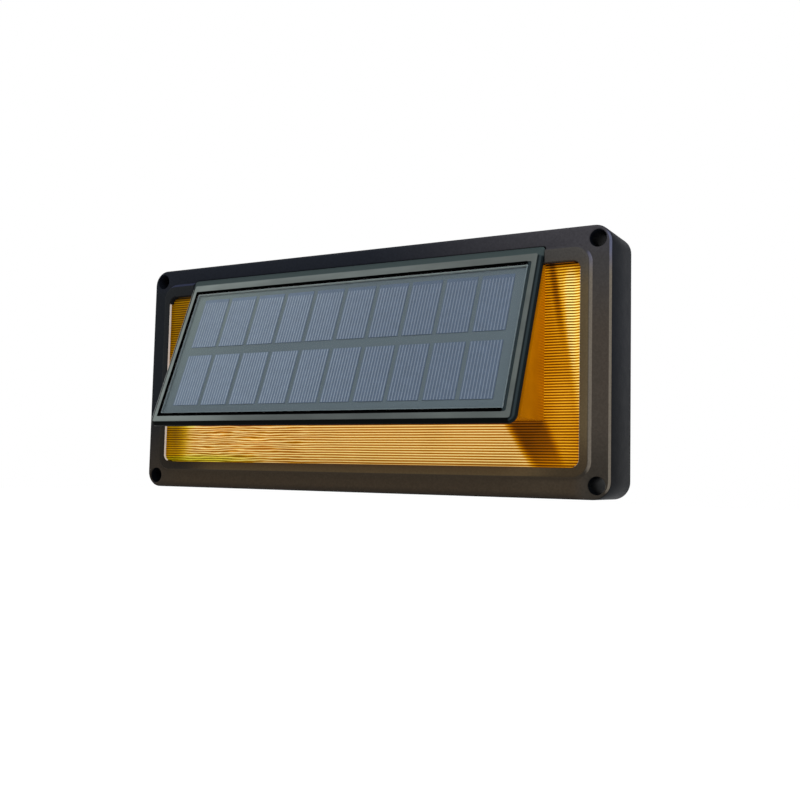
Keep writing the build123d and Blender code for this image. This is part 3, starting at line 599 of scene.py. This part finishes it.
print("ribbed lens finish ready")

# %% Smooth lens finish
smooth_lens = new_finish("lens_smooth", Roughness=0.22, Specular_IOR_Level=0.12, Emission_Strength=0.4)
x, y, z = millimetres(smooth_lens)
cloud = add(smooth_lens, "TexNoise", Scale=1 / (9 * mm), Detail=3.0)
join(smooth_lens, object_place(smooth_lens), cloud.inputs["Vector"])
# The smooth wedge is painted with a glow too, a little brighter towards the top, with faint rib lines
# painted near the ribs.
lines = calc(smooth_lens, "COSINE", calc(smooth_lens, "MULTIPLY", z, 2 * math.pi / (rib_pitch / mm)))
near_ribs = product(smooth_lens, lines, fade(smooth_lens, y, -29, -21.5))
amber_shader(smooth_lens, weighted(smooth_lens, 0.46, (
    (fade(smooth_lens, z, -22, 30), 0.05), (near_ribs, 0.05),
    (calc(smooth_lens, "SUBTRACT", cloud.outputs["Fac"], 0.5), 0.12))))
relief(smooth_lens, 0.6 * mm, 0.01 * mm)
finishes["lens_smooth"] = smooth_lens
print("lens finishes ready")

# %% [markdown]
# ## Give every node its finish
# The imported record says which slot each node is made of, so one loop hands out the finishes and no
# node is left with a plain colour.

# %% Finishes on the nodes
for name, node in nodes.items():
    for place_in_node in node.material_slots:
        slot_name = place_in_node.material.name.split(".")[0] if place_in_node.material else ""
        if slot_name in finishes:
            place_in_node.material = finishes[slot_name]
        else:
            print("no finish for", name, slot_name)
nodes["ribbed_lens"].material_slots[0].material = smooth_lens
print("nodes finished")

# %% [markdown]
# ## Helpers for shapes
# A carried-over mesh is loose triangles. To soften its edges, a copy is merged and a narrow bevel
# rounds every sharp edge. A bevel catches a thin highlight, which is what tells the eye that plastic
# is moulded and not cut from card.


# %% Helpers for shapes
def keep_mesh(name, mesh, body, slot_name, *replaced):
    """A finished piece: a mesh at the origin that rides on a body and takes a node's place."""
    piece = bpy.data.objects.new(name, mesh)
    bpy.context.scene.collection.objects.link(piece)
    if not mesh.materials:
        mesh.materials.append(finishes[slot_name])
    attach(piece, body)
    if replaced:
        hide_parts(*replaced)
    print(name, "faces:", len(mesh.polygons))
    return piece


def settled(piece):
    """The mesh that an object's modifiers give, as a plain mesh."""
    evaluated = piece.evaluated_get(bpy.context.evaluated_depsgraph_get())
    return bpy.data.meshes.new_from_object(evaluated)


bevel_steps = 2
sharpest_kept = math.radians(35)
sharp_shading = math.radians(28)


def softened(node_name, width):
    """The node again, with its sharp edges rounded."""
    mesh = nodes[node_name].data.copy()
    form = bmesh.new()
    form.from_mesh(mesh)
    bmesh.ops.remove_doubles(form, verts=form.verts, dist=0.002 * mm)
    form.to_mesh(mesh)
    form.free()
    trial = bpy.data.objects.new(node_name + "_trial", mesh)
    bpy.context.scene.collection.objects.link(trial)
    bevel = trial.modifiers.new("bevel", "BEVEL")
    bevel.width = width
    bevel.segments = bevel_steps
    bevel.limit_method = "ANGLE"
    bevel.angle_limit = sharpest_kept
    bevel.use_clamp_overlap = False
    bevel.loop_slide = False
    smooth = settled(trial)
    bpy.data.objects.remove(trial)
    smooth.shade_smooth()
    smooth.set_sharp_from_angle(angle=sharp_shading)
    return smooth


print("shape helpers ready")

# %% [markdown]
# ## Housing, frame and glass
# The housing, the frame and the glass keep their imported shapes. Only their edges are rounded, by a
# quarter of a millimetre on the housing and by less on the thinner pieces.

# %% Housing, frame and glass
keep_mesh("housing_shell", softened("front_housing", 0.25 * mm), "light", "housing", "front_housing")
keep_mesh("panel_bezel", softened("panel_frame", 0.12 * mm), "light", "panel_plastic", "panel_frame")
keep_mesh("panel_pane", softened("solar_glass", 0.05 * mm), "light", "panel_glass", "solar_glass")

# %% [markdown]
# ## Silver fingers on the cells
# Each cell is printed with ten thin silver lines that carry its current. Two hundred lines are the
# same bar again and again, which is work for Geometry Nodes: a row of bars makes a cell, a row of
# cells makes the panel, and two rows are joined.


# %% Helpers for Geometry Nodes
def new_tree(name, inputs):
    """An empty tree with named size inputs and one geometry output."""
    tree = bpy.data.node_groups.new(name, "GeometryNodeTree")
    for title, kind in inputs.items():
        tree.interface.new_socket(title, in_out="INPUT", socket_type="NodeSocket" + kind)
    tree.interface.new_socket("Geometry", in_out="OUTPUT", socket_type="NodeSocketGeometry")
    return tree, tree.nodes.new("NodeGroupInput"), tree.nodes.new("NodeGroupOutput")


def grow(tree, values, material):
    """Runs the tree on an empty mesh and gives back the plain mesh that it makes."""
    carrier = bpy.data.objects.new(tree.name, bpy.data.meshes.new(tree.name))
    bpy.context.scene.collection.objects.link(carrier)
    modifier = carrier.modifiers.new("nodes", "NODES")
    modifier.node_group = tree
    for item in tree.interface.items_tree:
        if item.in_out == "INPUT" and item.name in values:
            modifier[item.identifier] = values[item.name]
    for node in tree.nodes:
        if node.bl_idname == "GeometryNodeSetMaterial":
            node.inputs["Material"].default_value = material
    mesh = settled(carrier)
    bpy.data.objects.remove(carrier)
    return mesh


def vector_of(tree, x=None, y=None, z=None):
    """A vector whose parts come from sockets or plain numbers."""
    node = tree.nodes.new("ShaderNodeCombineXYZ")
    for socket, part in zip(node.inputs, (x, y, z)):
        if isinstance(part, (int, float)):
            socket.default_value = part
        elif part is not None:
            tree.links.new(part, socket)
    return node.outputs["Vector"]


def share_of(tree, source, share):
    """A size that is a fixed share of another."""
    node = tree.nodes.new("ShaderNodeMath")
    node.operation = "MULTIPLY"
    node.inputs[1].default_value = share
    tree.links.new(source, node.inputs[0])
    return node.outputs["Value"]


def finish_tree(tree, result, geometry):
    """Ends a tree in real geometry with a material."""
    real = tree.nodes.new("GeometryNodeRealizeInstances")
    painted = tree.nodes.new("GeometryNodeSetMaterial")
    tree.links.new(geometry, real.inputs["Geometry"])
    tree.links.new(real.outputs["Geometry"], painted.inputs["Geometry"])
    tree.links.new(painted.outputs["Geometry"], result.inputs["Geometry"])


# %% Finger tree
finger_tree, given, result = new_tree("cell_fingers", {
    "Cells": "Int", "Cell Pitch": "Float", "Fingers": "Int", "Finger Pitch": "Float",
    "Width": "Float", "Length": "Float", "Thickness": "Float"})
link = finger_tree.links.new
bar = finger_tree.nodes.new("GeometryNodeMeshCube")
link(vector_of(finger_tree, given.outputs["Width"], given.outputs["Length"], given.outputs["Thickness"]),
     bar.inputs["Size"])
spread = finger_tree.nodes.new("GeometryNodeMeshLine")
link(given.outputs["Fingers"], spread.inputs["Count"])
link(vector_of(finger_tree, given.outputs["Finger Pitch"], 0, 0), spread.inputs["Offset"])
row = finger_tree.nodes.new("GeometryNodeMeshLine")
link(given.outputs["Cells"], row.inputs["Count"])
link(vector_of(finger_tree, given.outputs["Cell Pitch"], 0, 0), row.inputs["Offset"])
one_cell = finger_tree.nodes.new("GeometryNodeInstanceOnPoints")
link(spread.outputs["Mesh"], one_cell.inputs["Points"])
link(bar.outputs["Mesh"], one_cell.inputs["Instance"])
all_cells = finger_tree.nodes.new("GeometryNodeInstanceOnPoints")
link(row.outputs["Mesh"], all_cells.inputs["Points"])
link(one_cell.outputs["Instances"], all_cells.inputs["Instance"])
finish_tree(finger_tree, result, all_cells.outputs["Instances"])

# %% Fingers on both rows
silver = new_finish("finger_silver", Specular_IOR_Level=0.2)
u, v, out = panel_places(silver)
# Painted light: the silver is painted lighter towards the left, over random patches.
join(silver, multiplied(silver, between(silver, fade(silver, u, -40, 60), "#aeb5c3", "#8d96a6"),
                        mottle(silver, 2 * mm, *grey_pair(0.92, 1.08))),
     shader_of(silver).inputs["Base Color"])
uneven_gloss(silver, 2 * mm, 0.3, 0.45)
cell_count = 10
cell_pitch = 13.6 * mm
finger_count = 10
finger_pitch = 1.19 * mm
finger_width = 0.34 * mm
finger_thickness = 0.04 * mm
finger_margin = 0.2 * mm
cell_face = -0.93 * mm
rows = {"upper": (13.05 * mm, 21.6 * mm, 1.3 * mm), "lower": (-12.15 * mm, 21.4 * mm, 0)}
for row_name, (middle, height, bare_top) in rows.items():
    length = height - bare_top
    mesh = grow(finger_tree, {
        "Cells": cell_count, "Cell Pitch": cell_pitch, "Fingers": finger_count,
        "Finger Pitch": finger_pitch, "Width": finger_width, "Length": length - finger_margin,
        "Thickness": finger_thickness}, silver)
    first = Vector((-(cell_count - 1) * cell_pitch / 2 - (finger_count - 1) * finger_pitch / 2,
                    middle - bare_top / 2, cell_face))
    mesh.transform(onto_panel @ Matrix.Translation(first))
    keep_mesh(row_name + "_cell_fingers", mesh, "light", "cell")

# %% [markdown]
# ## Ribs of the lens
# The window is filled with fine horizontal ribs, each the front of a long thin cylinder. One rib is a
# circle swept along a line, and Geometry Nodes sets the copies one above the other. Seventy-two fit,
# and one more at the top and at the foot is cut off where the window ends.

# %% Rib tree
rib_tree, given, result = new_tree("lens_ribs", {
    "Count": "Int", "Pitch": "Float", "Width": "Float", "Height": "Float"})
link = rib_tree.links.new
profile = rib_tree.nodes.new("GeometryNodeCurvePrimitiveCircle")
profile.inputs["Resolution"].default_value = 14
profile.inputs["Radius"].default_value = 1.0
half_pitch = share_of(rib_tree, given.outputs["Pitch"], 0.5)
oval = rib_tree.nodes.new("GeometryNodeTransform")
link(profile.outputs["Curve"], oval.inputs["Geometry"])
link(vector_of(rib_tree, given.outputs["Height"], half_pitch, 1), oval.inputs["Scale"])
run = rib_tree.nodes.new("GeometryNodeCurvePrimitiveLine")
for end, share in (("Start", -0.5), ("End", 0.5)):
    link(vector_of(rib_tree, share_of(rib_tree, given.outputs["Width"], share), 0, 0), run.inputs[end])
swept = rib_tree.nodes.new("GeometryNodeCurveToMesh")
swept.inputs["Fill Caps"].default_value = True
link(run.outputs["Curve"], swept.inputs["Curve"])
link(oval.outputs["Geometry"], swept.inputs["Profile Curve"])
stack = rib_tree.nodes.new("GeometryNodeMeshLine")
link(given.outputs["Count"], stack.inputs["Count"])
link(vector_of(rib_tree, 0, 0, given.outputs["Pitch"]), stack.inputs["Offset"])
ribs = rib_tree.nodes.new("GeometryNodeInstanceOnPoints")
link(stack.outputs["Mesh"], ribs.inputs["Points"])
link(swept.outputs["Mesh"], ribs.inputs["Instance"])
finish_tree(rib_tree, result, ribs.outputs["Instances"])

# %% Ribs in the window
ribs_proud = 0.03 * mm
window_corner = 2.7 * mm
wedge_half = 76.0 * mm
ribs_below_wedge = 16
side_width = window_width / 2 - wedge_half
side_middle = wedge_half + side_width / 2
ribs_beside_wedge = rib_count - ribs_below_wedge + 1
end_overlap = 0.12 * mm
groups = {"below": (-1, ribs_below_wedge + 1, window_width, 0),
          "right": (ribs_below_wedge, ribs_beside_wedge, side_width, side_middle),
          "left": (ribs_below_wedge, ribs_beside_wedge, side_width, -side_middle)}
form = bmesh.new()
for first, count, width, middle in groups.values():
    part = grow(rib_tree, {"Count": count, "Pitch": rib_pitch, "Width": width,
                           "Height": rib_height + ribs_proud}, lens)
    part.transform(Matrix.Translation((middle, rib_foot, lowest_rib + first * rib_pitch)))
    form.from_mesh(part)
for vertex in form.verts:
    tallest = window_height / 2 + end_overlap
    vertex.co.z = window_middle + max(-tallest, min(tallest, vertex.co.z - window_middle))
    past_corner = abs(vertex.co.z - window_middle) - (window_height / 2 - window_corner)
    if past_corner > 0:
        inset = window_corner - math.sqrt(max(window_corner ** 2 - min(past_corner, window_corner) ** 2, 0))
        reach = window_width / 2 - inset
        vertex.co.x = max(-reach, min(reach, vertex.co.x))
mesh = bpy.data.meshes.new("lens_ribs")
form.to_mesh(mesh)
form.free()
mesh.materials.append(lens)
mesh.shade_smooth()
mesh.set_sharp_from_angle(angle=math.radians(50))
keep_mesh("lens_ribs", mesh, "light", "lens")

# %% [markdown]
# ## Thin strips and rings
# Four details are thin bands that follow a rounded outline: the pale strips and the lips of the lens
# at the window's ends, the ground edge of the glass, which shows as a light line, and a dark band
# between that edge and the gap. The pale strips glow as a painted highlight on the window's end walls,
# and the dark band is a painted shadow that widens the gap. One outline helper gives the points, and a
# band is the space between two outlines.


# %% Bands
def outline(width, height, corner, steps=6):
    """Points round a rectangle with round corners, against the clock from the right side."""
    points = []
    for turn_index, (side, top) in enumerate(((1, 1), (-1, 1), (-1, -1), (1, -1))):
        centre = (side * (width / 2 - corner), top * (height / 2 - corner))
        for step in range(steps + 1):
            angle = math.radians(90 * (turn_index + step / steps))
            points.append((centre[0] + corner * math.cos(angle), centre[1] + corner * math.sin(angle)))
    return points


def band(name, outer, inner, inner_top, low, high, keep=lambda point: True):
    """A ring between outlines with as many points each, from height low to height high."""
    form = bmesh.new()
    levels = [[form.verts.new((px, py, level)) for px, py in line]
              for line, level in ((outer, low), (outer, high), (inner, low), (inner_top, high))]
    outer_low, outer_high, inner_low, inner_high = levels
    for i in range(len(outer)):
        j = (i + 1) % len(outer)
        if keep(outer[i]) and keep(outer[j]):
            form.faces.new((outer_low[i], outer_low[j], outer_high[j], outer_high[i]))
            form.faces.new((inner_low[j], inner_low[i], inner_high[i], inner_high[j]))
            form.faces.new((outer_high[i], outer_high[j], inner_high[j], inner_high[i]))
            form.faces.new((outer_low[j], outer_low[i], inner_low[i], inner_low[j]))
    open_edges = [edge for edge in form.edges if edge.is_boundary]
    if open_edges:
        bmesh.ops.holes_fill(form, edges=open_edges, sides=4)
    bmesh.ops.delete(form, geom=[vert for vert in form.verts if not vert.link_faces], context="VERTS")
    bmesh.ops.recalc_face_normals(form, faces=form.faces)
    mesh = bpy.data.meshes.new(name)
    form.to_mesh(mesh)
    form.free()
    return mesh


# %% End strips and ground edge
# The pale end strips glow a little: a painted highlight on the window's end walls.
end_strip_glow = moulded("end_strip", "#d2ccc6", 0.3, 0.4, spread=0.05, Emission_Color=tone("#d8cfc6"),
                       Emission_Strength=0.3)
window_inside = (177.96 * mm, 68.16 * mm, 2.96 * mm)


def inner_window(step):
    """The outline inside the window, a step in from its wall."""
    return outline(window_inside[0] - 2 * step, window_inside[1] - 2 * step, window_inside[2] - step)


def at_ends(point):
    """True along the window's two ends and round its lower corners."""
    at_side = abs(point[0]) > window_inside[0] / 2 - 1.6 * mm
    return at_side and point[1] < window_inside[1] / 2 - window_inside[2] + 0.1 * mm


upright = Matrix.Translation((0, 0, window_middle)) @ Matrix.Rotation(math.radians(90), 4, "X")
for name, finish, low, high, thick, thin in (
        ("lens_end_lips", lens, 21.0 * mm, 22.5 * mm, 0.24 * mm, 0.14 * mm),
        ("window_end_strips", end_strip_glow, 22.5 * mm, 23.4 * mm, 0.14 * mm, 0.03 * mm)):
    mesh = band(name, inner_window(0), inner_window(thick), inner_window(thin), low, high, at_ends)
    mesh.transform(upright)
    mesh.materials.append(finish)
    keep_mesh(name, mesh, "light", "lens")

ground = new_finish("ground_glass_edge", Roughness=0.55, Specular_IOR_Level=0.1)
u, v, out = panel_places(ground)
# The ground edge is pale; its top is painted paler still, a painted highlight.
top_edge_highlight = fade(ground, v, 25.9, 26.1)
join(ground, multiplied(ground, between(ground, top_edge_highlight, "#737f83", "#8a9592"),
                        mottle(ground, 1.5 * mm, *grey_pair(0.9, 1.1))),
     shader_of(ground).inputs["Base Color"])
glass_size = (143.4 * mm, 53.3 * mm, 0.3 * mm)


def inner_glass(step):
    """The outline of the glass, a step in from its edge."""
    corner = max(glass_size[2] - step, 0.05 * mm)
    return outline(glass_size[0] - 2 * step, glass_size[1] - 2 * step, corner, 2)


# Painted shadow: a near-black band inside the glass's edge widens the dark gap; at its right end it is
# painted grey, a painted highlight.
gap_shadow_sheet = new_finish("glass_gap_shadow", Roughness=0.8, Specular_IOR_Level=0.0)
u, v, out = panel_places(gap_shadow_sheet)
join(gap_shadow_sheet, between(gap_shadow_sheet, fade(gap_shadow_sheet, u, 70.6, 71.2), "#020202", "#69757a"),
     shader_of(gap_shadow_sheet).inputs["Base Color"])
relief(gap_shadow_sheet, 0.5 * mm, 0.01 * mm)
for name, finish, start, end in (("ground_edge", ground, 0.27 * mm, 0.56 * mm),
                                 ("glass_border", gap_shadow_sheet, 0.13 * mm, 0.26 * mm)):
    mesh = band(name, inner_glass(start), inner_glass(end), inner_glass(end), -0.88 * mm, -0.2 * mm)
    mesh.transform(onto_panel)
    mesh.materials.append(finish)
    keep_mesh(name, mesh, "light", "panel_glass")

# %% [markdown]
# ## Cover screws
# Four screws hold the back plate, and their heads show a cross recess. A cylinder with two bars cut
# out of it is one head, and the four corners of a grid carry the copies.

# %% Screw tree
screw_tree, given, result = new_tree("cover_screws", {
    "Spacing X": "Float", "Spacing Z": "Float", "Radius": "Float", "Depth": "Float",
    "Slot": "Float", "Slot Depth": "Float"})
link = screw_tree.links.new
head = screw_tree.nodes.new("GeometryNodeMeshCylinder")
head.inputs["Vertices"].default_value = 28
link(given.outputs["Radius"], head.inputs["Radius"])
link(given.outputs["Depth"], head.inputs["Depth"])
cut = screw_tree.nodes.new("GeometryNodeMeshBoolean")
cut.operation = "DIFFERENCE"
link(head.outputs["Mesh"], cut.inputs["Mesh 1"])
half_depth = share_of(screw_tree, given.outputs["Depth"], 0.5)
long_side = share_of(screw_tree, given.outputs["Radius"], 1.2)
for x_side, y_side in ((long_side, given.outputs["Slot"]), (given.outputs["Slot"], long_side)):
    cutter = screw_tree.nodes.new("GeometryNodeMeshCube")
    link(vector_of(screw_tree, x_side, y_side, given.outputs["Slot Depth"]), cutter.inputs["Size"])
    lifted = screw_tree.nodes.new("GeometryNodeTransform")
    link(cutter.outputs["Mesh"], lifted.inputs["Geometry"])
    link(vector_of(screw_tree, 0, 0, half_depth), lifted.inputs["Translation"])
    link(lifted.outputs["Geometry"], cut.inputs["Mesh 2"])
grid = screw_tree.nodes.new("GeometryNodeMeshGrid")
grid.inputs["Vertices X"].default_value = 2
grid.inputs["Vertices Y"].default_value = 2
link(given.outputs["Spacing X"], grid.inputs["Size X"])
link(given.outputs["Spacing Z"], grid.inputs["Size Y"])
heads = screw_tree.nodes.new("GeometryNodeInstanceOnPoints")
link(grid.outputs["Mesh"], heads.inputs["Points"])
link(cut.outputs["Mesh"], heads.inputs["Instance"])
finish_tree(screw_tree, result, heads.outputs["Instances"])

# %% Screws in the back
screw_low, screw_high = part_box("cover_screws")
head_radius = 2.2 * mm
head_depth = 1.3 * mm
mesh = grow(screw_tree, {
    "Spacing X": screw_high.x - screw_low.x - 2 * head_radius,
    "Spacing Z": screw_high.z - screw_low.z - 2 * head_radius,
    "Radius": head_radius, "Depth": head_depth, "Slot": 0.7 * mm, "Slot Depth": 1.4 * mm}, steel)
facing_back = Matrix.Rotation(math.radians(-90), 4, "X")
mesh.transform(Matrix.Translation((0, screw_high.y - head_depth / 2, 0)) @ facing_back)
reach = max(vertex.co.y for vertex in mesh.vertices)
print("screw heads reach y", round(reach / mm, 2), "of", round(screw_high.y / mm, 2))
keep_mesh("cover_screw_heads", mesh, "light", "steel", "cover_screws")

# %% [markdown]
# ## Floor, backdrop and lamps
# The light hangs in front of a white room. The world is white to the camera and to reflections but
# lights the object with a softer grey, and a pale floor below it takes its shadow. Four broad lamps
# stand for studio softboxes.

# %% World
fill_strength = 0.35
world = bpy.data.worlds.new("room")
bpy.context.scene.world = world
world.use_nodes = True
room = world.node_tree
backdrop = room.nodes["Background"]
backdrop.inputs["Color"].default_value = (1, 1, 1, 1)
backdrop.inputs["Strength"].default_value = 1.0
soft = room.nodes.new("ShaderNodeBackground")
soft.inputs["Color"].default_value = (0.93, 0.96, 1.0, 1)
soft.inputs["Strength"].default_value = fill_strength


def white_to_rays(tree):
    """1 for rays from the camera and for rays that a shiny or clear surface sends on."""
    path = tree.nodes.new("ShaderNodeLightPath")
    total = path.outputs["Is Camera Ray"]
    for ray in ("Is Glossy Ray", "Is Transmission Ray"):
        either = tree.nodes.new("ShaderNodeMath")
        either.operation = "MAXIMUM"
        tree.links.new(total, either.inputs[0])
        tree.links.new(path.outputs[ray], either.inputs[1])
        total = either.outputs["Value"]
    return total


blend_sky = room.nodes.new("ShaderNodeMixShader")
room.links.new(white_to_rays(room), blend_sky.inputs["Fac"])
room.links.new(soft.outputs["Background"], blend_sky.inputs[1])
room.links.new(backdrop.outputs["Background"], blend_sky.inputs[2])
room.links.new(blend_sky.outputs["Shader"], room.nodes["World Output"].inputs["Surface"])

# %% Floor
floor_height = -0.2
floor_half_size = 6
floor_white = 0.72
floor_mesh = bpy.data.meshes.new("floor")
form = bmesh.new()
bmesh.ops.create_grid(form, x_segments=1, y_segments=1, size=floor_half_size)
form.to_mesh(floor_mesh)
form.free()
floor_mesh.transform(Matrix.Translation((0, 0, floor_height)))
floor_finish = new_finish("floor_paint", Roughness=0.9)
join(floor_finish, mottle(floor_finish, 0.4, tone("#f6f6f4"), tone("#fafafa")),
     shader_of(floor_finish).inputs["Base Color"])
floor_glow = add(floor_finish, "Emission", Color=(1, 1, 1, 1))
join(floor_finish, calc(floor_finish, "MULTIPLY", white_to_rays(floor_finish.node_tree), floor_white),
     floor_glow.inputs["Strength"])
floor_sum = add(floor_finish, "AddShader")
join(floor_finish, shader_of(floor_finish).outputs["BSDF"], floor_sum.inputs[0])
join(floor_finish, floor_glow.outputs["Emission"], floor_sum.inputs[1])
join(floor_finish, floor_sum.outputs["Shader"],
     floor_finish.node_tree.nodes["Material Output"].inputs["Surface"])
floor_mesh.materials.append(floor_finish)
floor = bpy.data.objects.new("floor", floor_mesh)
bpy.context.scene.collection.objects.link(floor)


# %% Lamps
def softbox(name, place, width, height, power, colour):
    """A rectangular lamp that looks at the middle of the light."""
    lamp = bpy.data.lights.new(name, "AREA")
    lamp.shape = "RECTANGLE"
    lamp.size = width
    lamp.size_y = height
    lamp.energy = power
    lamp.color = colour
    holder = bpy.data.objects.new(name, lamp)
    bpy.context.scene.collection.objects.link(holder)
    towards_middle = (-Vector(place)).to_track_quat("-Z", "Y").to_matrix().to_4x4()
    holder.matrix_world = Matrix.Translation(place) @ towards_middle


# Each lamp: place and size in metres, power in watts, colour.
softbox("key_lamp", (0.45, -1.0, 0.8), 0.7, 0.5, 7.0, (1, 1, 1))
softbox("side_lamp", (0.87, -0.49, 0.08), 0.16, 0.5, 0.25, (0.95, 0.97, 1.0))
softbox("top_lamp", (0.2, 0.1, 1.0), 0.9, 0.4, 2.5, (0.85, 0.92, 1.0))
softbox("low_lamp", (0.3, -0.7, -0.5), 0.6, 0.3, 0.8, (1.0, 0.86, 0.7))
print("lamps ready")

# %% End
print("done")
